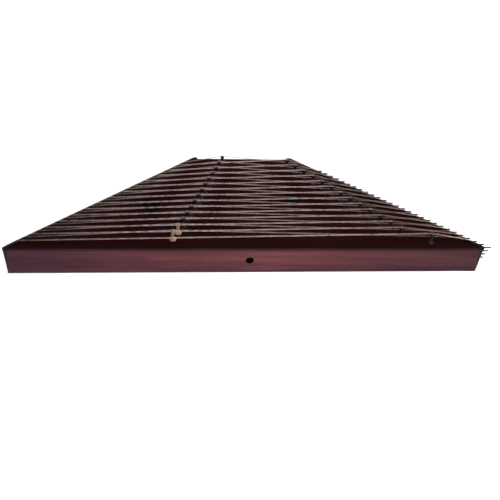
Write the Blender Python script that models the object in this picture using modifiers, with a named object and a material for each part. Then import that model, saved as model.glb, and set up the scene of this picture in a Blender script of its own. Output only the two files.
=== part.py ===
"""Hammered dulcimer of the santur family: a flat trapezoidal sound box with two rows of pawn-shaped bridges.

Metres, +Z up. The origin is on the underside, at the middle of the box. The long side faces -Y, where the
player sits, and every string runs along X.
"""

import math

import bmesh
import bpy
from mathutils import Matrix, Vector

# Driving dimensions of the box.
FRONT_WIDTH = 0.900
BACK_WIDTH = 0.205
DEPTH = 0.280
HEIGHT = 0.062
BACK_BOARD_THICKNESS = 0.004
SOUNDBOARD_THICKNESS = 0.005
FRONT_RAIL_THICKNESS = 0.014
SIDE_RAIL_THICKNESS = 0.024
GAP = 0.0003

# Courses: a bass and a treble course by turns, from the front edge to the back one.
COURSES = 14
COURSE_PITCH = 0.0178
FIRST_BASS_ROW = 0.0165
FIRST_TREBLE_ROW = 0.0254
STRINGS_IN_COURSE = 4
STRING_SPACING = 0.0010
STRING_RADIUS = 0.00022

# Bridges. A treble bridge stands a third of the way along its string, which sounds an octave on its two sides.
TREBLE_SPLIT = 1 / 3
TREBLE_SHIFTS = {0: 0.005, 1: 0.0025}
BASS_FIRST_X = 0.347
BASS_SECOND_X = 0.290
BASS_LAST_X = 0.092
BRIDGE_HEIGHT = 0.0232
BRIDGE_BASE_RADIUS = 0.007
BRIDGE_HEAD_RADIUS = 0.0042
BRIDGE_NECK_RADIUS = 0.0023
BRIDGE_NECK_Z = 0.012
BRIDGE_FOOT = 0.0035
SADDLE_RADIUS = 0.001
SADDLE_LENGTH = 0.0078
BRIDGE_SIDES = 8
BRIDGE_TRAVEL = 0.006

# Nuts along the slanted edges, and the strings' way over them. A string is level over its bridge's travel.
NUT_WIDTH = 0.005
NUT_HEIGHT = 0.004
NUT_WIRE_RADIUS = 0.0009
NUT_WIRE_INSET = 0.0032
OUTER_CORNER_CLEARANCE = 0.0015
STRING_STANDOFF = 0.004
STRING_DROP = 0.008
WIRE_LAP = 0.00015

# Tuning pins lie parallel to the strings in the right rail, in four rows.
PIN_RADIUS = 0.0020
PIN_EXPOSED = 0.038
PIN_SPREAD = 0.0015
PIN_BURIED = 0.022
PIN_ROWS = (0.0115, 0.0215, 0.0315, 0.0415)
PIN_CLEARANCE = 0.0004
TURNING_PIN_SIDES = 12
FIXED_PIN_SIDES = 4
FIXED_PIN_ROOT = 0.003

# Hitch pins lie in the left rail, two to a course, each holding the loops of two strings.
HITCH_RADIUS = 0.0012
HITCH_EXPOSED = 0.006
HITCH_ROWS = (0.012, 0.022)
HITCH_OFFSETS = (-0.0015, 0.0015)

# Sound holes with their roses, the air hole in the front rail, and the sound posts.
ROSE_CENTRES = {"rose_left": (-0.189, -0.015), "rose_right": (0.092, 0.006)}
ROSE_RADIUS = 0.020
ROSE_THICKNESS = 0.0026
ROSE_RECESS = 0.0008
ROSE_SIDES = 24
PETALS = 6
PETAL_RING = 0.0108
PETAL_RADIUS = 0.0040
AIR_HOLE_RADIUS = 0.007
AIR_HOLE_Z = 0.031
POST_RADIUS = 0.0045
POST_SIDES = 8
POST_CENTRES = ((-0.150, -0.090), (-0.100, 0.000), (-0.055, 0.085), (0.290, -0.085), (0.190, 0.005), (0.115, 0.085))

HALF_DEPTH = DEPTH / 2
SIDE_SLOPE = (FRONT_WIDTH - BACK_WIDTH) / 2 / DEPTH
SIDE_ANGLE = math.atan2(1, SIDE_SLOPE)
RAIL_BOTTOM = BACK_BOARD_THICKNESS + GAP
SOUNDBOARD_BOTTOM = HEIGHT - SOUNDBOARD_THICKNESS
RAIL_TOP = SOUNDBOARD_BOTTOM - GAP
NUT_TOP = HEIGHT + NUT_HEIGHT
NUT_WIRE_Z = NUT_TOP + GAP + NUT_WIRE_RADIUS
BRIDGE_TOP = HEIGHT + BRIDGE_HEIGHT


def row_y(first_row, course):
    """Y of a course, counted from 0 at the front."""
    return -HALF_DEPTH + first_row + COURSE_PITCH * course


def edge_x(y):
    """Half the width of the box at y."""
    return FRONT_WIDTH / 2 - SIDE_SLOPE * (y + HALF_DEPTH)


def treble_bridge_x(course):
    return -edge_x(row_y(FIRST_TREBLE_ROW, course)) * TREBLE_SPLIT - TREBLE_SHIFTS.get(course, 0)


def bass_bridge_x(course):
    if course == 0:
        return BASS_FIRST_X
    along = (course - 1) / (COURSES - 2)
    return BASS_SECOND_X + (BASS_LAST_X - BASS_SECOND_X) * along


def string_offset(number, spacing=STRING_SPACING):
    """Y of a string from its course's middle. With the pins' spread, it is the Y of its tuning pin."""
    return (number - (STRINGS_IN_COURSE - 1) / 2) * spacing


def start_scene():
    for old in list(bpy.data.objects):
        bpy.data.objects.remove(old)


def collection(name):
    made = bpy.data.collections.new(name)
    bpy.context.scene.collection.children.link(made)
    return made


def material(name, colour, roughness, metallic=0.0):
    made = bpy.data.materials.new(name)
    made.use_nodes = True
    shader = made.node_tree.nodes["Principled BSDF"]
    shader.inputs["Base Color"].default_value = (*colour, 1)
    shader.inputs["Roughness"].default_value = roughness
    shader.inputs["Metallic"].default_value = metallic
    return made


def add(name, data, group, finish=None):
    made = bpy.data.objects.new(name, data)
    group.objects.link(made)
    if finish:
        data.materials.append(finish)
    return made


def mesh_object(name, bm, group, finish=None):
    data = bpy.data.meshes.new(name)
    bm.to_mesh(data)
    bm.free()
    return add(name, data, group, finish)


def evaluated_mesh(source):
    """The mesh that an object's curve or modifiers make, as a bmesh in world space. The object is removed."""
    bpy.context.view_layer.update()
    seen = source.evaluated_get(bpy.context.evaluated_depsgraph_get())
    bm = bmesh.new()
    bm.from_mesh(bpy.data.meshes.new_from_object(seen))
    bm.transform(source.matrix_world)
    bmesh.ops.remove_doubles(bm, verts=bm.verts, dist=1e-6)
    bpy.data.objects.remove(source)
    return bm


def plate(name, outline, bottom, top, group, finish):
    """A flat piece with a straight-sided outline: a filled 2D curve, turned into a mesh so that it can be cut."""
    flat = bpy.data.curves.new(name, "CURVE")
    flat.dimensions = "2D"
    flat.fill_mode = "BOTH"
    flat.extrude = (top - bottom) / 2
    spline = flat.splines.new("POLY")
    spline.points.add(len(outline) - 1)
    spline.use_cyclic_u = True
    for point, (x, y) in zip(spline.points, outline):
        point.co = (x, y, 0, 1)
    shape = add(name + "_outline", flat, group)
    shape.location.z = (top + bottom) / 2
    return mesh_object(name, evaluated_mesh(shape), group, finish)


def rod(bm, start, direction, length, radius, sides):
    """Adds a closed rod to bm, from start along direction. Its flats, not its corners, are a radius away."""
    axis = Vector(direction).normalized()
    turn = axis.to_track_quat("Z", "Y").to_matrix().to_4x4()
    half_step = Matrix.Rotation(math.pi / sides, 4, "Z")
    middle = Vector(start) + axis * length / 2
    corner = radius / math.cos(math.pi / sides)
    bmesh.ops.create_cone(
        bm, cap_ends=True, segments=sides, radius1=corner, radius2=corner, depth=length,
        matrix=Matrix.Translation(middle) @ turn @ half_step,
    )


def combine(target, other, operation):
    """Cuts other's shape out of target, or joins it on."""
    other.hide_render = True
    other.display_type = "WIRE"
    modifier = target.modifiers.new(f"{operation.lower()}_{other.name}", "BOOLEAN")
    modifier.operation = operation
    modifier.object = other


def shrink(outline, by):
    """The same straight-sided outline, anticlockwise, with every side moved in by the same distance."""
    corners = [Vector(p) for p in outline]
    count = len(corners)
    made = []
    for i, corner in enumerate(corners):
        before = (corner - corners[i - 1]).normalized()
        after = (corners[(i + 1) % count] - corner).normalized()
        inward = Vector((-before.y, before.x)) + Vector((-after.y, after.x))
        made.append(corner + inward * by / (1 + before.dot(after)))
    return made


def box_outline(front_inset=0.0, side_inset=0.0):
    """The trapezoid, anticlockwise from its front left corner, with its sides moved in."""
    low, high = -HALF_DEPTH + front_inset, HALF_DEPTH - front_inset
    along = side_inset / math.sin(SIDE_ANGLE)
    front, back = edge_x(low) - along, edge_x(high) - along
    return [(-front, low), (front, low), (back, high), (-back, high)]


def build_frame(group, helpers, wood):
    """Four rails, mitred at the corners, with the air hole at the middle of the front one."""
    outer = box_outline()
    inner = box_outline(FRONT_RAIL_THICKNESS, SIDE_RAIL_THICKNESS)
    rails = {}
    for i, name in enumerate(("front_rail", "right_rail", "back_rail", "left_rail")):
        after = (i + 1) % 4
        mitred = [outer[i], outer[after], inner[after], inner[i]]
        seams_open = shrink(mitred, GAP / 2)
        rails[name] = plate(name, seams_open, RAIL_BOTTOM, RAIL_TOP, group, wood)
    bore = bmesh.new()
    rod(bore, (0, -HALF_DEPTH - 0.01, AIR_HOLE_Z), (0, 1, 0), 0.04, AIR_HOLE_RADIUS, 16)
    combine(rails["front_rail"], mesh_object("air_hole_cutter", bore, helpers), "DIFFERENCE")
    return rails


def build_boards(group, helpers, top_wood, wood):
    """The back board, and the soundboard with its two round sound holes."""
    plate("back_board", box_outline(), 0, BACK_BOARD_THICKNESS, group, wood)
    soundboard = plate("soundboard", box_outline(), SOUNDBOARD_BOTTOM, HEIGHT, group, top_wood)
    holes = bmesh.new()
    for x, y in ROSE_CENTRES.values():
        start = (x, y, SOUNDBOARD_BOTTOM - 0.005)
        rod(holes, start, (0, 0, 1), 0.015, ROSE_RADIUS, ROSE_SIDES)
    combine(soundboard, mesh_object("sound_hole_cutter", holes, helpers), "DIFFERENCE")


def build_roses(group, helpers, wood):
    """Pierced discs let into the sound holes, a little below the surface."""
    for name, (x, y) in ROSE_CENTRES.items():
        disc = bmesh.new()
        bottom = HEIGHT - ROSE_RECESS - ROSE_THICKNESS
        rod(disc, (x, y, bottom), (0, 0, 1), ROSE_THICKNESS, ROSE_RADIUS - GAP, ROSE_SIDES)
        petals = bmesh.new()
        for i in range(PETALS):
            turn = math.tau * i / PETALS
            start = (x + PETAL_RING * math.cos(turn), y + PETAL_RING * math.sin(turn), bottom - 0.003)
            rod(petals, start, (0, 0, 1), 0.009, PETAL_RADIUS, 6)
        rose = mesh_object(name, disc, group, wood)
        combine(rose, mesh_object(name + "_cutter", petals, helpers), "DIFFERENCE")


def build_nuts(group, wood):
    """A strip on top of the soundboard along each slanted edge."""
    along = NUT_WIDTH / math.sin(SIDE_ANGLE)
    front, back = edge_x(-HALF_DEPTH), edge_x(HALF_DEPTH)
    right = [(front - along, -HALF_DEPTH), (front, -HALF_DEPTH), (back, HALF_DEPTH), (back - along, HALF_DEPTH)]
    left = [(-x, y) for x, y in reversed(right)]
    plate("right_nut", right, HEIGHT + GAP, NUT_TOP, group, wood)
    plate("left_nut", left, HEIGHT + GAP, NUT_TOP, group, wood)


def build_sound_posts(group, wood):
    for i, (x, y) in enumerate(POST_CENTRES):
        post = bmesh.new()
        rod(post, (0, 0, 0), (0, 0, 1), RAIL_TOP - RAIL_BOTTOM, POST_RADIUS, POST_SIDES)
        made = mesh_object(f"sound_post_{i + 1}", post, group, wood)
        made.location = (x, y, RAIL_BOTTOM)


def build_tuning_pins(group, helpers, rail, steel):
    """The first bass and treble courses have turning pins; the others are joined to the rail that holds them."""
    turning, bores, fixed = bmesh.new(), bmesh.new(), bmesh.new()
    rod(turning, (-PIN_BURIED, 0, 0), (1, 0, 0), PIN_BURIED + PIN_EXPOSED, PIN_RADIUS, TURNING_PIN_SIDES)
    turning_mesh = bpy.data.meshes.new("tuning_pin")
    turning.to_mesh(turning_mesh)
    turning.free()
    turning_mesh.materials.append(steel)
    for course in range(COURSES):
        for family, first in (("bass", FIRST_BASS_ROW), ("treble", FIRST_TREBLE_ROW)):
            for row, drop in enumerate(PIN_ROWS):
                y = row_y(first, course) + string_offset(row, PIN_SPREAD)
                place = Vector((edge_x(y), y, HEIGHT - drop))
                if course == 0:
                    add(f"tuning_pin_{family}_{row + 1}", turning_mesh, group).location = place
                    bottom = place - Vector((PIN_BURIED + GAP, 0, 0))
                    rod(bores, bottom, (1, 0, 0), 0.05, PIN_RADIUS + PIN_CLEARANCE, TURNING_PIN_SIDES)
                else:
                    root = place - Vector((FIXED_PIN_ROOT, 0, 0))
                    length = FIXED_PIN_ROOT + PIN_EXPOSED
                    rod(fixed, root, (1, 0, 0), length, PIN_RADIUS, FIXED_PIN_SIDES)
    combine(rail, mesh_object("tuning_pin_bores", bores, helpers), "DIFFERENCE")
    combine(rail, mesh_object("fixed_tuning_pins", fixed, helpers), "UNION")


def build_hitch_pins(helpers, rail):
    """Two short pins for each course, joined to the rail that holds them."""
    pins = bmesh.new()
    for course in range(COURSES):
        for first in (FIRST_BASS_ROW, FIRST_TREBLE_ROW):
            for drop, offset in zip(HITCH_ROWS, HITCH_OFFSETS):
                y = row_y(first, course) + offset
                root = (-edge_x(y) + FIXED_PIN_ROOT, y, HEIGHT - drop)
                length = FIXED_PIN_ROOT + HITCH_EXPOSED
                rod(pins, root, (-1, 0, 0), length, HITCH_RADIUS, FIXED_PIN_SIDES)
    combine(rail, mesh_object("hitch_pins", pins, helpers), "UNION")


def bridge_mesh(helpers, wood):
    """A turned pawn with a metal saddle rod sunk into its head, standing on the origin."""
    head_top = BRIDGE_HEIGHT - SADDLE_RADIUS
    profile = (
        (0, head_top), (BRIDGE_HEAD_RADIUS, head_top), (BRIDGE_HEAD_RADIUS * 0.6, head_top - 0.006),
        (BRIDGE_NECK_RADIUS, BRIDGE_NECK_Z), (BRIDGE_BASE_RADIUS, BRIDGE_FOOT), (BRIDGE_BASE_RADIUS, GAP), (0, GAP),
    )
    guide = bpy.data.meshes.new("bridge_profile")
    edges = [(i, i + 1) for i in range(len(profile) - 1)]
    guide.from_pydata([(r, 0, z) for r, z in profile], edges, [])
    pawn = add("bridge_pawn", guide, helpers)
    screw = pawn.modifiers.new("turn", "SCREW")
    screw.steps = screw.render_steps = BRIDGE_SIDES
    screw.use_merge_vertices = True
    screw.merge_threshold = 0.00001
    saddle = bmesh.new()
    start = (0, -SADDLE_LENGTH / 2, BRIDGE_HEIGHT - SADDLE_RADIUS)
    rod(saddle, start, (0, 1, 0), SADDLE_LENGTH, SADDLE_RADIUS, 6)
    combine(pawn, mesh_object("bridge_saddle", saddle, helpers), "UNION")
    made = bpy.data.meshes.new("bridge")
    evaluated_mesh(pawn).to_mesh(made)
    made.materials.append(wood)
    return made


def build_bridges(group, helpers, wood):
    """Each bridge is an object of its own at its place on the soundboard, and all share one mesh."""
    shared = bridge_mesh(helpers, wood)
    for course in range(COURSES):
        for family, first, across in (
            ("treble", FIRST_TREBLE_ROW, treble_bridge_x(course)),
            ("bass", FIRST_BASS_ROW, bass_bridge_x(course)),
        ):
            made = add(f"{family}_bridge_{course + 1:02d}", shared, group)
            made.location = (across, row_y(first, course), HEIGHT)


def string_route(y, bridge_x, over_left, over_right):
    """Points of one string, from the left side of the box up over both nuts and the bridge to the right side."""
    over_bridge = BRIDGE_TOP + GAP + STRING_RADIUS
    over_corner = NUT_TOP + GAP + STRING_RADIUS
    level = BRIDGE_TRAVEL + 0.001
    side = edge_x(y)
    return (
        (-side - STRING_STANDOFF, y, HEIGHT - STRING_DROP),
        (-side - OUTER_CORNER_CLEARANCE, y, over_corner),
        (-side + NUT_WIRE_INSET, y, over_left),
        (bridge_x - level, y, over_bridge),
        (bridge_x + level, y, over_bridge),
        (side - NUT_WIRE_INSET, y, over_right),
        (side + OUTER_CORNER_CLEARANCE, y, over_corner),
        (side + STRING_STANDOFF, y, HEIGHT - STRING_DROP),
    )


def build_strings(name, first, bridge_x, joined_side, group, helpers, wire):
    """All the strings of one family, joined by the nut wire that they press on at one side."""
    lapped = NUT_WIRE_Z + NUT_WIRE_RADIUS + STRING_RADIUS - WIRE_LAP
    clear = NUT_WIRE_Z + NUT_WIRE_RADIUS + STRING_RADIUS + 2 * GAP
    over_left = lapped if joined_side < 0 else clear
    over_right = lapped if joined_side > 0 else clear
    lines = bpy.data.curves.new(name + "_lines", "CURVE")
    lines.dimensions = "3D"
    lines.bevel_depth = STRING_RADIUS
    lines.bevel_resolution = 0
    lines.use_fill_caps = True
    for course in range(COURSES):
        for number in range(STRINGS_IN_COURSE):
            y = row_y(first, course) + string_offset(number)
            route = string_route(y, bridge_x(course), over_left, over_right)
            spline = lines.splines.new("POLY")
            spline.points.add(len(route) - 1)
            for point, place in zip(spline.points, route):
                point.co = (*place, 1)
    strings = mesh_object(name + "_alone", evaluated_mesh(add(name + "_lines", lines, helpers)), helpers)
    front, back = -HALF_DEPTH + 0.002, HALF_DEPTH - 0.002
    start = Vector((joined_side * (edge_x(front) - NUT_WIRE_INSET), front, NUT_WIRE_Z))
    end = Vector((joined_side * (edge_x(back) - NUT_WIRE_INSET), back, NUT_WIRE_Z))
    nut_wire = bmesh.new()
    rod(nut_wire, start, end - start, (end - start).length, NUT_WIRE_RADIUS, 6)
    combine(mesh_object(name, nut_wire, group, wire), strings, "UNION")


def main():
    start_scene()
    group = collection("hammered_dulcimer")
    helpers = collection("helpers")
    rail_wood = material("rail_wood", (0.115, 0.040, 0.032), 0.38)
    board_wood = material("board_wood", (0.040, 0.014, 0.010), 0.42)
    nut_wood = material("nut_wood", (0.055, 0.035, 0.030), 0.35)
    bridge_wood = material("bridge_wood", (0.30, 0.17, 0.10), 0.40)
    post_wood = material("post_wood", (0.55, 0.40, 0.24), 0.60)
    brass = material("brass", (0.78, 0.58, 0.30), 0.30, 1.0)
    steel = material("steel", (0.62, 0.60, 0.58), 0.30, 1.0)
    rails = build_frame(group, helpers, rail_wood)
    build_boards(group, helpers, board_wood, rail_wood)
    build_roses(group, helpers, nut_wood)
    build_nuts(group, nut_wood)
    build_sound_posts(group, post_wood)
    build_tuning_pins(group, helpers, rails["right_rail"], steel)
    build_hitch_pins(helpers, rails["left_rail"])
    build_bridges(group, helpers, bridge_wood)
    build_strings("treble_strings", FIRST_TREBLE_ROW, treble_bridge_x, -1, group, helpers, steel)
    build_strings("bass_strings", FIRST_BASS_ROW, bass_bridge_x, 1, group, helpers, brass)


main()
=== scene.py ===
"""Looks of the hammered dulcimer: every string, pin and turned bridge, with varnished wood and drawn wire.

Lengths are in metres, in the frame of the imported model: +X runs along the strings towards the tuning pins,
the player sits at -Y, and +Z is up. Places are read from the model's nodes.
"""

import math

import bmesh
import bpy
from mathutils import Matrix, Vector


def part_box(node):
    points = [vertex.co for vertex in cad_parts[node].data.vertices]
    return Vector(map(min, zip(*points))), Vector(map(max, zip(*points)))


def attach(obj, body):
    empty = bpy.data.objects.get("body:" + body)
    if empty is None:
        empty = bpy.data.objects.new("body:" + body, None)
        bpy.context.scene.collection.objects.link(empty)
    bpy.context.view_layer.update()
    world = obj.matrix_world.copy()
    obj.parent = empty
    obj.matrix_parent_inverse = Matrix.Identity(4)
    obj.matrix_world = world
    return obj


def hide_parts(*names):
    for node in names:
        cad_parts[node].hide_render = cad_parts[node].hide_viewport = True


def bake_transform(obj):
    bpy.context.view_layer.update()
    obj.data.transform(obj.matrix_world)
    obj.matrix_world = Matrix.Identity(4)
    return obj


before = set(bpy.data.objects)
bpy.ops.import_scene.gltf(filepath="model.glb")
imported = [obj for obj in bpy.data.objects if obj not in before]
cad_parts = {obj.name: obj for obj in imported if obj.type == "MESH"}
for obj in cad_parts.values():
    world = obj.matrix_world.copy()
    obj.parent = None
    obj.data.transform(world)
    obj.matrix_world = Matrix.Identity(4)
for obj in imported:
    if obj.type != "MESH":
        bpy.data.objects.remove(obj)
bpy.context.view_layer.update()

# ---------------------------------------------------------------- places, from the model

COURSES = 14
STRINGS = 4
FAMILIES = ("bass", "treble")

FRONT_Y, BACK_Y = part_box("back_board")[0].y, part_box("back_board")[1].y
FRONT_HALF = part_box("back_board")[1].x
BACK_HALF = max(v.co.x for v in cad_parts["back_board"].data.vertices if v.co.y > BACK_Y - 0.001)
SIDE_SLOPE = (FRONT_HALF - BACK_HALF) / (BACK_Y - FRONT_Y)
SIDE_ANGLE = math.atan2(1, SIDE_SLOPE)
BOARD_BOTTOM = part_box("soundboard")[0].z
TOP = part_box("soundboard")[1].z
NUT_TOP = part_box("left_nut")[1].z
RAIL_BOTTOM, RAIL_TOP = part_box("front_rail")[0].z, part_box("front_rail")[1].z

GAP = 0.0003
NUT_WIRE_RADIUS = 0.0009
NUT_WIRE_INSET = 0.0032
WIRE_TOP = NUT_TOP + 2 * NUT_WIRE_RADIUS
STRING_RADIUS = {"treble": 0.00018, "bass": 0.00020}
STRING_SPACING = 0.0010
SADDLE_RADIUS = 0.001
SADDLE_LENGTH = 0.0078
AIR_HOLE_RADIUS = 0.0077
AIR_HOLE_Z = 0.031
SIDE_RAIL_THICKNESS = 0.024
FRONT_RAIL_THICKNESS = 0.014

# How far the sharp edges are rounded.
RAIL_EDGE = 0.0007
SOUNDBOARD_EDGE = 0.0008
BACK_BOARD_EDGE = 0.0009
NUT_EDGE = 0.0012
ROSE_EDGE = 0.00035

# The rose's holes: places and sizes as parts of its radius.
RING_HOLES = 12
RING_REACH = 0.76
RING_HOLE_RADIUS = 0.125
PETALS = 6
PETAL_REACH = 0.37
PETAL_HALF_SIZE = (0.215, 0.105)
EYE_RADIUS = 0.075

# Tuning pins: a round shank, then a square tapered head, whose radii are those of its corners.
PIN_RADIUS = 0.0020
PIN_SHANK = 0.0225
PIN_HEAD = 0.0155
PIN_HEAD_RADII = (0.00245, 0.0020)
PIN_HEAD_SUNK = 0.001
PIN_BURIED = 0.022
PIN_CLEARANCE = 0.0004

# Hitch pins, two to a course, with the loops of two strings on each.
HITCH_RADIUS = 0.0012
HITCH_EXPOSED = 0.006
HITCH_BURIED = 0.003
HITCH_ROWS = (0.012, 0.022)
HITCH_OFFSET = 0.0015
LOOP_OUT = 0.0022
LOOP_STEP = 0.0012
LOOP_SIDES = 18

# Windings and twists of the strings. A pitch counts in the string's radius.
WINDING_START = 0.0085
WINDING_TURNS = 4
WINDING_PITCH = 2.15
TWIST_START = 0.0012
TWIST_TURNS = 7
TWIST_PITCH = 2.6

FLOOR_HALF_SIZE = 8.0
FLOOR_Z = -0.0005

# The camera, as places and angles that give the view of the photograph.
CAMERA_PLACE = (-0.1189, -1.0701, 0.9444)
CAMERA_HEADING = -0.12575
CAMERA_DOWN = 0.7570
CAMERA_ROLL = 0.08489
CAMERA_LENS = 49.95


def edge_x(y):
    """Half the width of the box at y."""
    return FRONT_HALF - SIDE_SLOPE * (y - FRONT_Y)


def bridge_place(family, course):
    """The middle of a bridge's saddle, at its top."""
    low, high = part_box(f"{family}_bridge_{course:02d}")
    return Vector(((low.x + high.x) / 2, (low.y + high.y) / 2, high.z))


def pin_drop(number):
    """How far below the soundboard's top a course's tuning pin lies: pin 1 is the highest."""
    low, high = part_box(f"tuning_pin_bass_{number}")
    return TOP - (low.z + high.z) / 2


def pin_offset(number):
    """Y of the tuning pin of a course's string 1 to 4, from the course's middle."""
    low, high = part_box(f"tuning_pin_bass_{number}")
    return (low.y + high.y) / 2 - bridge_place("bass", 1).y


STRING_OFFSETS = [(number - (STRINGS - 1) / 2) * STRING_SPACING for number in range(STRINGS)]
PIN_OFFSETS = [pin_offset(number) for number in range(1, STRINGS + 1)]
DROPS = [pin_drop(number) for number in range(1, STRINGS + 1)]

# ---------------------------------------------------------------- mesh helpers


def mesh_piece(name, bm, finish):
    """A piece with bm's mesh; bm is used up."""
    data = bpy.data.meshes.new(name)
    bm.to_mesh(data)
    bm.free()
    made = bpy.data.objects.new(name, data)
    bpy.context.scene.collection.objects.link(made)
    for one in finish if isinstance(finish, (list, tuple)) else [finish]:
        data.materials.append(one)
    return made


def baked(piece):
    """Makes what a piece's modifiers or curve show its own mesh."""
    bpy.context.view_layer.update()
    seen = piece.evaluated_get(bpy.context.evaluated_depsgraph_get())
    data = bpy.data.meshes.new_from_object(seen)
    name, world = piece.name, piece.matrix_world.copy()
    bpy.data.objects.remove(piece)
    made = bpy.data.objects.new(name, data)
    data.name = name
    made.matrix_world = world
    bpy.context.scene.collection.objects.link(made)
    return made


def prism(outline, bottom, top):
    """A bmesh of a straight-sided plank."""
    bm = bmesh.new()
    low = [bm.verts.new((x, y, bottom)) for x, y in outline]
    high = [bm.verts.new((x, y, top)) for x, y in outline]
    bm.faces.new(high)
    bm.faces.new(low[::-1])
    for i in range(len(outline)):
        after = (i + 1) % len(outline)
        bm.faces.new((low[i], low[after], high[after], high[i]))
    return bm


def rod(bm, start, direction, length, radius, sides, end_radius=None):
    """Adds a closed rod, or a taper, to bm."""
    axis = Vector(direction).normalized()
    turn = axis.to_track_quat("Z", "Y").to_matrix().to_4x4()
    bmesh.ops.create_cone(
        bm, cap_ends=True, segments=sides, radius1=radius, radius2=end_radius or radius, depth=length,
        matrix=Matrix.Translation(Vector(start) + axis * length / 2) @ turn,
    )


def cut(piece, cutter_mesh):
    """Takes a bmesh's shape out of a piece."""
    cutter = mesh_piece(piece.name + "_cutter", cutter_mesh, [])
    modifier = piece.modifiers.new("cut", "BOOLEAN")
    modifier.object = cutter
    made = baked(piece)
    bpy.data.objects.remove(cutter)
    return made


def round_edges(piece, width, segments=3):
    """Rounds the sharp edges of a piece, and leaves its flat faces looking flat."""
    bevel = piece.modifiers.new("edges", "BEVEL")
    bevel.width = width
    bevel.segments = segments
    bevel.limit_method = "ANGLE"
    bevel.angle_limit = math.radians(35)
    bevel.harden_normals = True
    piece.data.shade_smooth()
    return baked(piece)


def smooth(data, angle):
    """Smooth shading, but for edges sharper than an angle in degrees."""
    data.shade_smooth()
    data.set_sharp_from_angle(angle=math.radians(angle))


def append_mesh(bm, other):
    """Adds another bmesh to bm; the other is used up."""
    scrap = bpy.data.meshes.new("scrap")
    other.to_mesh(scrap)
    other.free()
    bm.from_mesh(scrap)
    bpy.data.meshes.remove(scrap)


def turned(bm, profile, steps, matrix):
    """Adds a turned shape to bm. The profile is (radius, height) from top to foot, both on the axis."""
    rings = []
    for radius, height in profile:
        if radius == 0:
            rings.append([bm.verts.new(matrix @ Vector((0, 0, height)))])
            continue
        turns = [math.tau * i / steps for i in range(steps)]
        places = [Vector((radius * math.cos(a), radius * math.sin(a), height)) for a in turns]
        rings.append([bm.verts.new(matrix @ place) for place in places])
    for upper, lower in zip(rings, rings[1:]):
        for i in range(steps):
            after = (i + 1) % steps
            around = ((upper, i), (lower, i), (lower, after), (upper, after))
            corners = [ring[at % len(ring)] for ring, at in around]
            unlike = [c for n, c in enumerate(corners) if c not in corners[:n]]
            bm.faces.new(unlike)


def wires(name, routes, radius, finish, rings=()):
    """A piece of thin round wires along routes, and of closed rings."""
    lines = bpy.data.curves.new(name, "CURVE")
    lines.dimensions = "3D"
    lines.bevel_depth = radius
    lines.bevel_resolution = 1
    lines.use_fill_caps = True
    for closed, group in ((False, routes), (True, rings)):
        for route in group:
            spline = lines.splines.new("POLY")
            spline.points.add(len(route) - 1)
            spline.use_cyclic_u = closed
            for point, place in zip(spline.points, route):
                point.co = (*place, 1)
    lines.materials.append(finish)
    piece = bpy.data.objects.new(name, lines)
    bpy.context.scene.collection.objects.link(piece)
    made = baked(piece)
    made.data.shade_smooth()
    return made


def stands_for(piece, node_name):
    """Hides the model's node that a piece is shown in place of, and gives the piece back."""
    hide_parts(node_name)
    return piece


# ---------------------------------------------------------------- materials


def node(tree, kind, inputs=None, **settings):
    """A node of a material, with its settings, and its inputs linked or set."""
    made = tree.nodes.new(kind)
    for key, value in settings.items():
        setattr(made, key, value)
    for key, value in (inputs or {}).items():
        if isinstance(value, bpy.types.NodeSocket):
            tree.links.new(value, made.inputs[key])
        else:
            made.inputs[key].default_value = value
    return made


def new_material(name):
    made = bpy.data.materials.new(name)
    made.use_nodes = True
    return made, made.node_tree, made.node_tree.nodes["Principled BSDF"]


def ramp(tree, factor, stops):
    """A colour ramp through (place, colour) stops."""
    made = node(tree, "ShaderNodeValToRGB", {"Fac": factor})
    elements = made.color_ramp.elements
    while len(elements) < len(stops):
        elements.new(0.5)
    for element, (place, colour) in zip(elements, stops):
        element.position = place
        element.color = (*colour, 1)
    return made.outputs["Color"]


def maths(tree, operation, *values, clamp=False):
    made = node(tree, "ShaderNodeMath", dict(enumerate(values)), operation=operation, use_clamp=clamp)
    return made.outputs[0]


def mix(tree, factor, first, second, blend="MIX"):
    made = node(tree, "ShaderNodeMix", data_type="RGBA", blend_type=blend)
    for socket, value in ((made.inputs[0], factor), (made.inputs[6], first), (made.inputs[7], second)):
        if isinstance(value, bpy.types.NodeSocket):
            tree.links.new(value, socket)
        else:
            socket.default_value = value if isinstance(value, float) else (*value, 1)
    return made.outputs[2]


def stretched(tree, along, turn, fine, course):
    """Coordinates that squeeze noise across the grain. The grain runs along an axis, turned about Z."""
    coordinates = node(tree, "ShaderNodeTexCoord").outputs["Object"]
    turned_ones = node(
        tree, "ShaderNodeVectorRotate", {"Vector": coordinates, "Angle": -turn}, rotation_type="Z_AXIS"
    ).outputs["Vector"]
    scale = [fine] * 3
    scale[along] = course
    return node(tree, "ShaderNodeMapping", {"Vector": turned_ones, "Scale": scale}).outputs["Vector"]


def noise(tree, vector, scale, detail=4.0, roughness=0.55, distortion=0.0):
    made = node(
        tree, "ShaderNodeTexNoise",
        {
            "Vector": vector, "Scale": scale, "Detail": detail, "Roughness": roughness,
            "Distortion": distortion,
        },
    )
    return made.outputs["Fac"]


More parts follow.
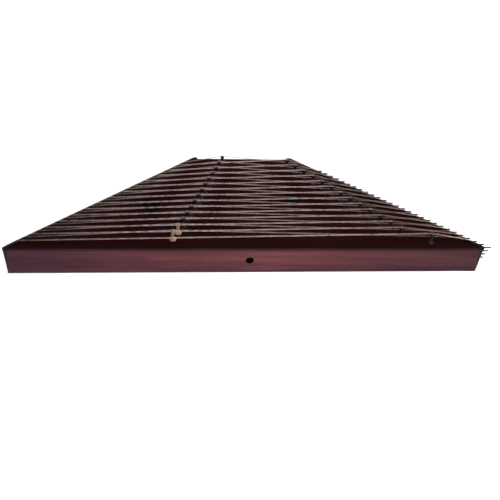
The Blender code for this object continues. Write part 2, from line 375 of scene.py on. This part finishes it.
def wood(name, dark, mid, light, along=0, turn=0.0, gloss=0.40, coat=0.0, specular=0.06, painted_corner_shade=None):
    """Varnished wood: broad figure, fibres, dark pores, and varnish with small unevenness.

    The grain runs along axis 0, 1 or 2. A larger gloss number is a duller varnish.
    """
    made, tree, shader = new_material(name)
    figure = noise(tree, stretched(tree, along, turn, 26.0, 1.6), 1.0, 6.0, 0.62, 1.1)
    fibre = noise(tree, stretched(tree, along, turn, 260.0, 7.0), 1.0, 5.0, 0.7, 0.4)
    pores = noise(tree, stretched(tree, along, turn, 900.0, 34.0), 1.0, 2.0, 0.5)
    patches = noise(tree, stretched(tree, along, turn, 7.0, 3.0), 1.0, 3.0, 0.5)
    colour = ramp(tree, figure, ((0.30, dark), (0.52, mid), (0.72, light)))
    fibre_shade = maths(tree, "MULTIPLY_ADD", fibre, 0.9, 0.55)
    patch_shade = maths(tree, "MULTIPLY_ADD", patches, 0.9, 0.55)
    tone = maths(tree, "MULTIPLY", fibre_shade, patch_shade)
    grey = node(tree, "ShaderNodeCombineColor", {0: tone, 1: tone, 2: tone}).outputs[0]
    colour = mix(tree, 1.0, colour, grey, "MULTIPLY")
    pore = maths(tree, "MULTIPLY", maths(tree, "SUBTRACT", 0.40, pores, clamp=True), 6.0, clamp=True)
    colour = mix(tree, maths(tree, "MULTIPLY", pore, 0.6), colour, [part * 0.35 for part in dark])
    # Painted shade: the long side darkens towards its ends, and a dark strip is painted at its corners.
    if painted_corner_shade:
        colour = mix(tree, painted_corner_shade_factor(tree), painted_end_shade(tree, colour), painted_corner_shade)
    tree.links.new(colour, shader.inputs["Base Color"])
    height = maths(tree, "SUBTRACT", maths(tree, "MULTIPLY", fibre, 0.35), maths(tree, "MULTIPLY", pore, 0.5))
    bump = node(tree, "ShaderNodeBump", {"Height": height, "Strength": 0.25, "Distance": 0.0004})
    tree.links.new(bump.outputs["Normal"], shader.inputs["Normal"])
    rough = maths(tree, "MULTIPLY_ADD", fibre, 0.22, gloss - 0.11)
    tree.links.new(rough, shader.inputs["Roughness"])
    shader.inputs["Specular IOR Level"].default_value = specular
    shader.inputs["Coat Weight"].default_value = coat
    shader.inputs["Coat Roughness"].default_value = 0.22
    return made


def object_place(tree):
    """X, Y and Z of the shaded point, in the piece's own frame."""
    coordinates = node(tree, "ShaderNodeTexCoord").outputs["Object"]
    return node(tree, "ShaderNodeSeparateXYZ", {0: coordinates}).outputs


def painted_end_shade(tree, colour):
    """Painted shade: the rails' colour darkens, and turns to purple, towards the ends of the long side, where
    less light falls.
    """
    place = object_place(tree)["X"]
    ends = {0: place, 1: -FRONT_HALF, 2: FRONT_HALF, 3: 0.0, 4: 1.0}
    along = node(tree, "ShaderNodeMapRange", ends).outputs[0]
    return mix(tree, 1.0, colour, ramp(tree, along, PAINTED_END_SHADES), "MULTIPLY")


def painted_corner_shade_factor(tree):
    """1 on the last millimetres of the long side, wider at the top, where a dark strip of painted shade
    stands for the shaded corner facet.
    """
    place = object_place(tree)
    from_end = maths(tree, "SUBTRACT", FRONT_HALF, maths(tree, "ABSOLUTE", place["X"]))
    width = maths(tree, "MULTIPLY_ADD", place["Z"], CORNER_SHADE_SPREAD, CORNER_SHADE_WIDTH_AT_FOOT)
    inside = maths(tree, "SUBTRACT", width, from_end)
    return maths(tree, "MULTIPLY", inside, CORNER_SHADE_SHARPNESS, clamp=True)


def metal(name, colour, tarnish, roughness, grain=(400.0, 400.0, 400.0), relief=0.1):
    """Drawn or turned metal with dull spots and fine marks."""
    made, tree, shader = new_material(name)
    coordinates = node(tree, "ShaderNodeTexCoord").outputs["Object"]
    stretched_ones = node(tree, "ShaderNodeMapping", {"Vector": coordinates, "Scale": grain}).outputs[0]
    marks = noise(tree, stretched_ones, 1.0, 4.0)
    spots = noise(tree, coordinates, 60.0, 5.0, 0.65)
    tree.links.new(ramp(tree, spots, ((0.38, tarnish), (0.58, colour))), shader.inputs["Base Color"])
    uneven = 0.12
    rough = maths(tree, "MULTIPLY_ADD", marks, uneven * 2, roughness - uneven)
    tree.links.new(rough, shader.inputs["Roughness"])
    bump = node(tree, "ShaderNodeBump", {"Height": marks, "Strength": relief, "Distance": 0.0001})
    tree.links.new(bump.outputs["Normal"], shader.inputs["Normal"])
    shader.inputs["Metallic"].default_value = 1.0
    return made


RAIL_TONES = dict(dark=(0.038, 0.012, 0.019), mid=(0.074, 0.021, 0.028), light=(0.120, 0.035, 0.034))
# Painted shade: darker and bluer towards both ends of the long side, where the light falls off.
PAINTED_END_SHADES = (
    (0.0, (0.66, 0.66, 0.80)), (0.30, (0.92, 0.92, 0.96)), (0.55, (1.0, 1.0, 1.0)), (1.0, (0.40, 0.41, 0.49)),
)
# Painted shade: the dark strip at the corners of the long side, wider at the top.
PAINTED_CORNER_SHADE = (0.014, 0.007, 0.011)
CORNER_SHADE_WIDTH_AT_FOOT = 0.0015
CORNER_SHADE_SPREAD = 0.125
CORNER_SHADE_SHARPNESS = 2500.0
RAIL_WOOD = wood("rail_wood", **RAIL_TONES, painted_corner_shade=PAINTED_CORNER_SHADE)
RIGHT_RAIL_WOOD = wood("right_rail_wood", **RAIL_TONES, turn=math.pi - SIDE_ANGLE, painted_corner_shade=PAINTED_CORNER_SHADE)
LEFT_RAIL_WOOD = wood("left_rail_wood", **RAIL_TONES, turn=SIDE_ANGLE, painted_corner_shade=PAINTED_CORNER_SHADE)
# Painted shade: near-black wood for the wall of the air hole, where shade falls into the box.
AIR_HOLE_PAINTED_SHADE = wood(
    "air_hole_painted_shade", (0.003, 0.0010, 0.0012), (0.005, 0.0018, 0.0020), (0.009, 0.0034, 0.0034),
    gloss=0.6, specular=0.02,
)
BACK_WOOD = wood("back_wood", (0.034, 0.017, 0.025), (0.057, 0.027, 0.038), (0.080, 0.038, 0.049))
BOARD_WOOD = wood(
    "board_wood", (0.0048, 0.0008, 0.0007), (0.0082, 0.0014, 0.0011), (0.015, 0.0035, 0.0023),
    gloss=0.42, specular=0.04,
)
BOARD_EDGE_WOOD = wood(
    "board_edge_wood", (0.018, 0.007, 0.010), (0.034, 0.013, 0.017), (0.052, 0.020, 0.023),
    specular=0.02, painted_corner_shade=PAINTED_CORNER_SHADE,
)
NUT_TONES = ((0.004, 0.0020, 0.0020), (0.008, 0.0042, 0.0038), (0.017, 0.0095, 0.0080))
NUT_WOOD_RIGHT = wood("right_nut_wood", *NUT_TONES, turn=math.pi - SIDE_ANGLE)
NUT_WOOD_LEFT = wood("left_nut_wood", *NUT_TONES, turn=SIDE_ANGLE)
ROSE_WOOD = wood(
    "rose_wood", (0.0010, 0.0013, 0.0020), (0.0022, 0.0026, 0.0040), (0.0050, 0.0052, 0.0072),
    specular=0.015,
)
DARK_BRIDGE_WOOD = wood(
    "dark_bridge_wood", (0.005, 0.0024, 0.0026), (0.010, 0.0052, 0.0054), (0.021, 0.011, 0.011),
    along=2, gloss=0.22, specular=0.07,
)
TAN_BRIDGE_WOOD = wood(
    "tan_bridge_wood", (0.12, 0.066, 0.040), (0.22, 0.135, 0.085), (0.34, 0.230, 0.155),
    along=2, gloss=0.34, coat=0.05, specular=0.2,
)
POST_WOOD = wood("post_wood", (0.30, 0.20, 0.11), (0.46, 0.33, 0.19), (0.60, 0.46, 0.29), along=2, gloss=0.6)
STEEL_WIRE = metal("steel_wire", (0.232, 0.182, 0.200), (0.140, 0.100, 0.112), 0.30)
BRASS_WIRE = metal("brass_wire", (0.345, 0.265, 0.246), (0.226, 0.148, 0.122), 0.30)
PIN_STEEL = metal(
    "pin_steel", (0.085, 0.076, 0.083), (0.030, 0.026, 0.029), 0.42, grain=(60.0, 900.0, 900.0), relief=0.25,
)
SADDLE_STEEL = metal("saddle_steel", (0.16, 0.145, 0.14), (0.08, 0.065, 0.06), 0.30)
WIRE_FINISH = {"treble": STEEL_WIRE, "bass": BRASS_WIRE}

# ---------------------------------------------------------------- the box


def shrink(outline, by):
    """An anticlockwise outline with every side moved in by the same distance."""
    corners = [Vector(p) for p in outline]
    made = []
    for i, corner in enumerate(corners):
        before = (corner - corners[i - 1]).normalized()
        after = (corners[(i + 1) % len(corners)] - corner).normalized()
        inward = Vector((-before.y, before.x)) + Vector((-after.y, after.x))
        made.append(corner + inward * by / (1 + before.dot(after)))
    return made


def box_outline(front_inset=0.0, side_inset=0.0):
    """The trapezoid, anticlockwise from its front left corner, with its sides moved in."""
    low, high = FRONT_Y + front_inset, BACK_Y - front_inset
    along = side_inset / math.sin(SIDE_ANGLE)
    front, back = edge_x(low) - along, edge_x(high) - along
    return [(-front, low), (front, low), (back, high), (-back, high)]


def pin_places():
    """(family, course, string, place on the right side's face) of every tuning pin."""
    for course in range(1, COURSES + 1):
        for family in FAMILIES:
            middle = bridge_place(family, course).y
            for number, (offset, drop) in enumerate(zip(PIN_OFFSETS, DROPS), 1):
                y = middle + offset
                yield family, course, number, Vector((edge_x(y), y, TOP - drop))


def hitch_places():
    """(family, course, pin, place on the left side's face) of every hitch pin."""
    for course in range(1, COURSES + 1):
        for family in FAMILIES:
            middle = bridge_place(family, course).y
            for number, drop in enumerate(HITCH_ROWS, 1):
                y = middle + (2 * number - 3) * HITCH_OFFSET
                yield family, course, number, Vector((-edge_x(y), y, TOP - drop))


def air_hole():
    hole = bmesh.new()
    rod(hole, (0, FRONT_Y - 0.01, AIR_HOLE_Z), (0, 1, 0), 0.05, AIR_HOLE_RADIUS, 48)
    return hole


def paint_air_hole_shade(rail):
    """The wall of the air hole gets a near-black material of its own: painted shade for the dark inside of
    the hole.
    """
    rail.data.materials.append(AIR_HOLE_PAINTED_SHADE)
    for face in rail.data.polygons:
        from_axis = math.hypot(face.center.x, face.center.z - AIR_HOLE_Z)
        if from_axis < AIR_HOLE_RADIUS + GAP and abs(face.normal.y) < 0.5:
            face.material_index = 1


def pin_bores():
    bores = bmesh.new()
    for _, _, _, place in pin_places():
        bottom = place - Vector((PIN_BURIED + GAP, 0, 0))
        rod(bores, bottom, (1, 0, 0), 0.05, PIN_RADIUS + PIN_CLEARANCE, 14)
    return bores


def make_rails():
    """Four rails, mitred at the corners. The front one has the air hole, the right one the pins' bores."""
    outer = box_outline()
    inner = box_outline(FRONT_RAIL_THICKNESS, SIDE_RAIL_THICKNESS)
    names = ("front_rail", "right_rail", "back_rail", "left_rail")
    finishes = (RAIL_WOOD, RIGHT_RAIL_WOOD, RAIL_WOOD, LEFT_RAIL_WOOD)
    for i, (name, finish) in enumerate(zip(names, finishes)):
        after = (i + 1) % 4
        outline = shrink([outer[i], outer[after], inner[after], inner[i]], GAP / 2)
        piece = mesh_piece(name + "_wood", prism(outline, RAIL_BOTTOM, RAIL_TOP), finish)
        if name == "front_rail":
            piece = round_edges(cut(piece, air_hole()), RAIL_EDGE)
            paint_air_hole_shade(piece)
        else:
            piece = round_edges(piece, RAIL_EDGE)
        if name == "right_rail":
            piece = cut(piece, pin_bores())
        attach(stands_for(piece, name), "case")


def make_boards():
    """The soundboard shows its dark face on top and its paler layer at its edge."""
    finishes = [BOARD_WOOD, BOARD_EDGE_WOOD]
    board = mesh_piece("soundboard_wood", prism(box_outline(), BOARD_BOTTOM, TOP), finishes)
    holes = bmesh.new()
    for rose in ("rose_left", "rose_right"):
        low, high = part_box(rose)
        below = ((low.x + high.x) / 2, (low.y + high.y) / 2, BOARD_BOTTOM - 0.01)
        rod(holes, below, (0, 0, 1), 0.03, (high.x - low.x) / 2 + GAP, 72)
    board = round_edges(cut(board, holes), SOUNDBOARD_EDGE)
    for face in board.data.polygons:
        if abs(face.normal.z) < 0.5 and abs(face.center.y) > 0.05 or face.normal.z < -0.5:
            face.material_index = 1
    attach(stands_for(board, "soundboard"), "case")
    low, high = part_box("back_board")
    back = mesh_piece("back_board_wood", prism(box_outline(), low.z, high.z), BACK_WOOD)
    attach(stands_for(round_edges(back, BACK_BOARD_EDGE), "back_board"), "case")


def make_rose(node_name):
    """A pierced disc: a ring of round holes, and petals round a small eye."""
    low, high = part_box(node_name)
    middle = Vector(((low.x + high.x) / 2, (low.y + high.y) / 2, 0))
    radius = (high.x - low.x) / 2
    disc = bmesh.new()
    rod(disc, middle + Vector((0, 0, low.z)), (0, 0, 1), high.z - low.z, radius, 96)
    holes = bmesh.new()
    length, bottom = high.z - low.z + 0.004, low.z - 0.002
    for i in range(RING_HOLES):
        turn = math.tau * (i + 0.5) / RING_HOLES
        place = Vector((math.cos(turn), math.sin(turn), 0)) * radius * RING_REACH
        below = middle + place + Vector((0, 0, bottom))
        rod(holes, below, (0, 0, 1), length, radius * RING_HOLE_RADIUS, 20)
    for i in range(PETALS):
        turn = math.tau * i / PETALS
        petal = bmesh.new()
        rod(petal, (0, 0, bottom), (0, 0, 1), length, 1.0, 20)
        size = [radius * part for part in PETAL_HALF_SIZE]
        bmesh.ops.scale(petal, vec=(*size, 1.0), verts=petal.verts)
        place = Vector((math.cos(turn), math.sin(turn), 0)) * radius * PETAL_REACH + middle
        moved = Matrix.Translation(place) @ Matrix.Rotation(turn, 4, "Z")
        bmesh.ops.transform(petal, matrix=moved, verts=petal.verts)
        append_mesh(holes, petal)
    rod(holes, middle + Vector((0, 0, bottom)), (0, 0, 1), length, radius * EYE_RADIUS, 16)
    piece = cut(mesh_piece(node_name + "_wood", disc, ROSE_WOOD), holes)
    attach(stands_for(round_edges(piece, ROSE_EDGE, 2), node_name), "case")


def make_nuts():
    """A rounded strip on each slanted edge, with the metal wire that the strings press on along its top."""
    low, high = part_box("right_nut")
    front, back = edge_x(FRONT_Y), edge_x(BACK_Y)
    along = (high.x - low.x) - (front - back)
    right = [(front - along, FRONT_Y), (front, FRONT_Y), (back, BACK_Y), (back - along, BACK_Y)]
    left = [(-x, y) for x, y in reversed(right)]
    nuts = (("right_nut", right, NUT_WOOD_RIGHT, 1), ("left_nut", left, NUT_WOOD_LEFT, -1))
    for name, outline, finish, side in nuts:
        piece = mesh_piece(name + "_wood", prism(outline, low.z, high.z), finish)
        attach(stands_for(round_edges(piece, NUT_EDGE, 4), name), "case")
        ends = [FRONT_Y + 0.0025, BACK_Y - 0.0025]
        route = [(side * (edge_x(y) - NUT_WIRE_INSET), y, NUT_TOP + NUT_WIRE_RADIUS) for y in ends]
        wire = wires(name + "_wire", [route], NUT_WIRE_RADIUS, PIN_STEEL)
        strings = "bass_strings" if side > 0 else "treble_strings"
        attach(stands_for(wire, strings), "case")


# ---------------------------------------------------------------- bridges, pins and strings

# The turned profile: radius in millimetres, and height as a part of the pawn's.
PAWN = (
    (0, 1), (3.5, 1), (4.0, 0.992), (4.25, 0.967), (4.15, 0.929), (3.6, 0.858), (2.9, 0.787), (2.75, 0.729),
    (2.75, 0.704), (3.2, 0.692), (3.45, 0.671), (3.2, 0.65), (2.8, 0.638), (2.7, 0.583), (2.7, 0.5),
    (2.85, 0.4), (3.2, 0.308), (3.7, 0.233), (4.3, 0.183), (4.7, 0.173), (4.75, 0.154), (5.6, 0.146),
    (6.4, 0.121), (6.85, 0.083), (7.0, 0.05), (6.95, 0.021), (6.7, 0.012), (0, 0.012),
)


def make_bridge(family, course):
    """A turned pawn with a steel saddle rod let into its head. The first two treble ones are paler."""
    name = f"{family}_bridge_{course:02d}"
    top = bridge_place(family, course)
    foot = Matrix.Translation((top.x, top.y, TOP))
    pawn = bmesh.new()
    height = top.z - SADDLE_RADIUS - TOP
    turned(pawn, [(radius / 1000, height * part) for radius, part in PAWN], 32, foot)
    finish = TAN_BRIDGE_WOOD if family == "treble" and course <= 2 else DARK_BRIDGE_WOOD
    piece = mesh_piece(name + "_pawn", pawn, finish)
    smooth(piece.data, 50)
    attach(stands_for(piece, name), name)
    half, low = SADDLE_LENGTH / 2, top.z - SADDLE_RADIUS
    ends = [(top.x, top.y - half, low), (top.x, top.y + half, low)]
    saddle = wires(name + "_saddle", [ends], SADDLE_RADIUS, SADDLE_STEEL)
    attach(stands_for(saddle, name), name)


def shared_mesh(name, bm, finish, angle):
    """A mesh for many pieces, from bm; bm is used up."""
    data = bpy.data.meshes.new(name)
    bm.to_mesh(data)
    bm.free()
    data.materials.append(finish)
    smooth(data, angle)
    return data


def tuning_pin_mesh():
    """A steel pin along +X from its place on the rail's face: round shank, and a square tapered head."""
    bm = bmesh.new()
    profile = (
        (0, PIN_SHANK), (PIN_RADIUS * 0.86, PIN_SHANK), (PIN_RADIUS, PIN_SHANK - 0.0008),
        (PIN_RADIUS, -PIN_BURIED + 0.001), (PIN_RADIUS * 0.8, -PIN_BURIED), (0, -PIN_BURIED),
    )
    turned(bm, profile, 20, Matrix.Rotation(math.pi / 2, 4, "Y"))
    head = bmesh.new()
    root, tip = PIN_HEAD_RADII
    rod(head, (PIN_SHANK - PIN_HEAD_SUNK, 0, 0), (1, 0, 0), PIN_HEAD + PIN_HEAD_SUNK, root, 4, tip)
    bmesh.ops.bevel(head, geom=head.edges[:], offset=0.0002, segments=2, affect="EDGES")
    append_mesh(bm, head)
    return shared_mesh("tuning_pin", bm, PIN_STEEL, 35)


def winding_route(radius):
    """The turns of a string on its pin, from where it arrives on the +Y side, back towards the rail."""
    steps = 14
    reach = PIN_RADIUS + radius
    route = []
    for i in range(WINDING_TURNS * steps + 1):
        turn = math.tau * i / steps
        x = WINDING_START - WINDING_PITCH * radius * i / steps
        route.append((x, reach * math.cos(turn), -reach * math.sin(turn)))
    return route


def place_copy(name, data, place):
    """A piece that shares its mesh with others."""
    made = bpy.data.objects.new(name, data)
    bpy.context.scene.collection.objects.link(made)
    made.location = place
    return made


def make_tuning_pins():
    """A pin and a winding for every string. The first courses' pins turn; the others stand in the rail."""
    pin = tuning_pin_mesh()
    winding = {}
    for family in FAMILIES:
        radius = STRING_RADIUS[family]
        coil = wires(f"{family}_winding", [winding_route(radius)], radius, WIRE_FINISH[family])
        winding[family] = coil.data
        bpy.data.objects.remove(coil)
    for family, course, number, place in pin_places():
        own = f"tuning_pin_{family}_{number}"
        body, stood_for = (own, own) if course == 1 else ("case", "right_rail")
        name = f"tuning_pin_{family}_{course:02d}_{number}"
        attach(stands_for(place_copy(name, pin, place), stood_for), body)
        turns = place_copy(name + "_winding", winding[family], place)
        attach(stands_for(turns, f"{family}_strings"), body)


def make_hitch_pins():
    """Short nails along -X with a flat head, in the left rail."""
    bm = bmesh.new()
    radius, length = HITCH_RADIUS, HITCH_EXPOSED
    profile = (
        (0, length), (radius * 0.7, length - 0.0001), (radius * 1.35, length - 0.0005),
        (radius * 1.4, length - 0.0009), (radius, length - 0.0012),
        (radius, -HITCH_BURIED), (0, -HITCH_BURIED),
    )
    turned(bm, profile, 16, Matrix.Rotation(-math.pi / 2, 4, "Y"))
    data = shared_mesh("hitch_pin", bm, PIN_STEEL, 40)
    for family, course, number, place in hitch_places():
        piece = place_copy(f"hitch_pin_{family}_{course:02d}_{number}", data, place)
        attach(stands_for(piece, "left_rail"), "case")


def over_nut(side, y, radius):
    """Points of a string from the outside of a nut in over its wire."""
    out = edge_x(y)
    return [
        (side * (out + 0.0005), y, NUT_TOP - 0.0016),
        (side * (out + 0.0002), y, NUT_TOP - 0.0004),
        (side * (out - 0.0006), y, NUT_TOP + 0.0004),
        (side * (out - NUT_WIRE_INSET + 0.0006), y, WIRE_TOP + radius - 0.00016),
        (side * (out - NUT_WIRE_INSET), y, WIRE_TOP + radius),
    ]


def stem_twist(start, end, radius):
    """A string's own end wrapped round it, above its loop."""
    axis = (end - start).normalized()
    across = axis.cross(Vector((1, 0, 0))).normalized()
    other = axis.cross(across)
    steps = 8
    route = []
    for i in range(TWIST_TURNS * steps + 1):
        turn = math.tau * i / steps
        along = start + axis * (TWIST_START + TWIST_PITCH * radius * i / steps)
        route.append(along + (across * math.cos(turn) + other * math.sin(turn)) * 2 * radius)
    return route


def left_half(family, y, middle, number):
    """Routes of a string's left half up to the bridge, without its last point, and of its loop's ring."""
    radius = STRING_RADIUS[family]
    pair, second = divmod(number, 2)
    hitch_y = middle + (2 * pair - 1) * HITCH_OFFSET
    reach = HITCH_RADIUS + radius
    loop_x = -edge_x(hitch_y) - LOOP_OUT - LOOP_STEP * second
    loop_z = TOP - HITCH_ROWS[pair]
    turns = [math.tau * i / LOOP_SIDES for i in range(LOOP_SIDES)]
    ring = [(loop_x, hitch_y + reach * math.cos(a), loop_z + reach * math.sin(a)) for a in turns]
    leave = Vector((loop_x, hitch_y + (2 * second - 1) * reach, loop_z))
    over = [Vector(p) for p in over_nut(-1, y, radius)]
    return [leave, *over], stem_twist(leave, over[0], radius), ring


def right_half(family, y, middle, pin_offset_y, drop):
    """Route of a string's right half, from its tuning pin up to the bridge, without its last point."""
    radius = STRING_RADIUS[family]
    pin_y = middle + pin_offset_y
    arrive = Vector((edge_x(pin_y) + WINDING_START, pin_y + PIN_RADIUS + radius, TOP - drop))
    return [arrive, *(Vector(p) for p in over_nut(1, y, radius))]


def make_course(family, course):
    """The strings of a course, in a left and a right part that meet on the saddle."""
    radius, finish = STRING_RADIUS[family], WIRE_FINISH[family]
    top = bridge_place(family, course)
    left_routes, right_routes, rings = [], [], []
    for number, (offset, pin_offset_y, drop) in enumerate(zip(STRING_OFFSETS, PIN_OFFSETS, DROPS)):
        y = top.y + offset
        kink = Vector((top.x, y, top.z + radius))
        route, twist, ring = left_half(family, y, top.y, number)
        left_routes += [[*route, kink], twist]
        rings.append(ring)
        right_routes.append([*right_half(family, y, top.y, pin_offset_y, drop), kink])
    for side, half, routes, closed in ((-1, "left", left_routes, rings), (1, "right", right_routes, [])):
        piece = wires(f"{family}_strings_{course:02d}_{half}", routes, radius, finish, closed)
        stands_for(piece, f"{family}_strings")
        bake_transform(piece)


# ---------------------------------------------------------------- stage


def make_floor():
    """A pale floor, even and matt."""
    made, tree, shader = new_material("floor_paper")
    coordinates = node(tree, "ShaderNodeTexCoord").outputs["Object"]
    tone = ramp(tree, noise(tree, coordinates, 2.0), ((0.3, (0.93, 0.93, 0.92)), (0.7, (0.95, 0.95, 0.94))))
    tree.links.new(tone, shader.inputs["Base Color"])
    shader.inputs["Roughness"].default_value = 0.9
    shader.inputs["Specular IOR Level"].default_value = 0.1
    bm = bmesh.new()
    down = Matrix.Translation((0, 0, FLOOR_Z))
    bmesh.ops.create_grid(bm, x_segments=1, y_segments=1, size=FLOOR_HALF_SIZE, matrix=down)
    mesh_piece("floor", bm, made)


def area_light(name, place, aim, size, power, colour=(1, 1, 1)):
    """A soft box at a place, turned to what it lights."""
    lamp = bpy.data.lights.new(name, "AREA")
    lamp.shape = "RECTANGLE"
    lamp.size, lamp.size_y = size
    lamp.energy = power
    lamp.color = colour
    made = bpy.data.objects.new(name, lamp)
    made.location = place
    made.rotation_euler = (Vector(aim) - Vector(place)).to_track_quat("-Z", "Y").to_euler()
    bpy.context.scene.collection.objects.link(made)


def make_lights():
    """A large soft box overhead, a small one in front, and a slightly warm one on the right."""
    world = bpy.data.worlds.new("studio")
    world.use_nodes = True
    world.node_tree.nodes["Background"].inputs["Color"].default_value = (1.0, 1.0, 0.99, 1)
    world.node_tree.nodes["Background"].inputs["Strength"].default_value = 0.10
    bpy.context.scene.world = world
    area_light("overhead", (0, -0.3, 3.2), (0, 0, 0), (3.5, 3.0), 150)
    area_light("front", (0.05, -1.9, 0.9), (0.02, -0.1, 0.03), (1.2, 0.8), 22)
    area_light("right", (2.6, -0.5, 1.7), (0.2, 0, 0.05), (1.6, 1.6), 80, (1.0, 0.96, 0.88))


def make_camera():
    """The camera stands in front of the long side, a little left of its middle, and looks down on it."""
    lens = bpy.data.cameras.new("camera")
    lens.lens = CAMERA_LENS
    lens.sensor_width = 36
    made = bpy.data.objects.new("camera", lens)
    bpy.context.scene.collection.objects.link(made)
    heading = Matrix.Rotation(CAMERA_HEADING, 4, "Z")
    tilt = Matrix.Rotation(math.pi / 2 - CAMERA_DOWN, 4, "X")
    roll = Matrix.Rotation(CAMERA_ROLL, 4, "Z")
    made.matrix_world = Matrix.Translation(CAMERA_PLACE) @ heading @ tilt @ roll
    bpy.context.scene.camera = made


def finish_sound_posts():
    """The posts inside are the model's own, with a material."""
    for name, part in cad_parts.items():
        if name.startswith("sound_post"):
            part.data.materials.clear()
            part.data.materials.append(POST_WOOD)


def main():
    make_rails()
    make_boards()
    make_rose("rose_left")
    make_rose("rose_right")
    make_nuts()
    finish_sound_posts()
    for course in range(1, COURSES + 1):
        for family in FAMILIES:
            make_bridge(family, course)
            make_course(family, course)
    make_tuning_pins()
    make_hitch_pins()
    make_floor()
    make_lights()
    make_camera()
    bpy.context.scene.view_settings.view_transform = "Standard"


main()
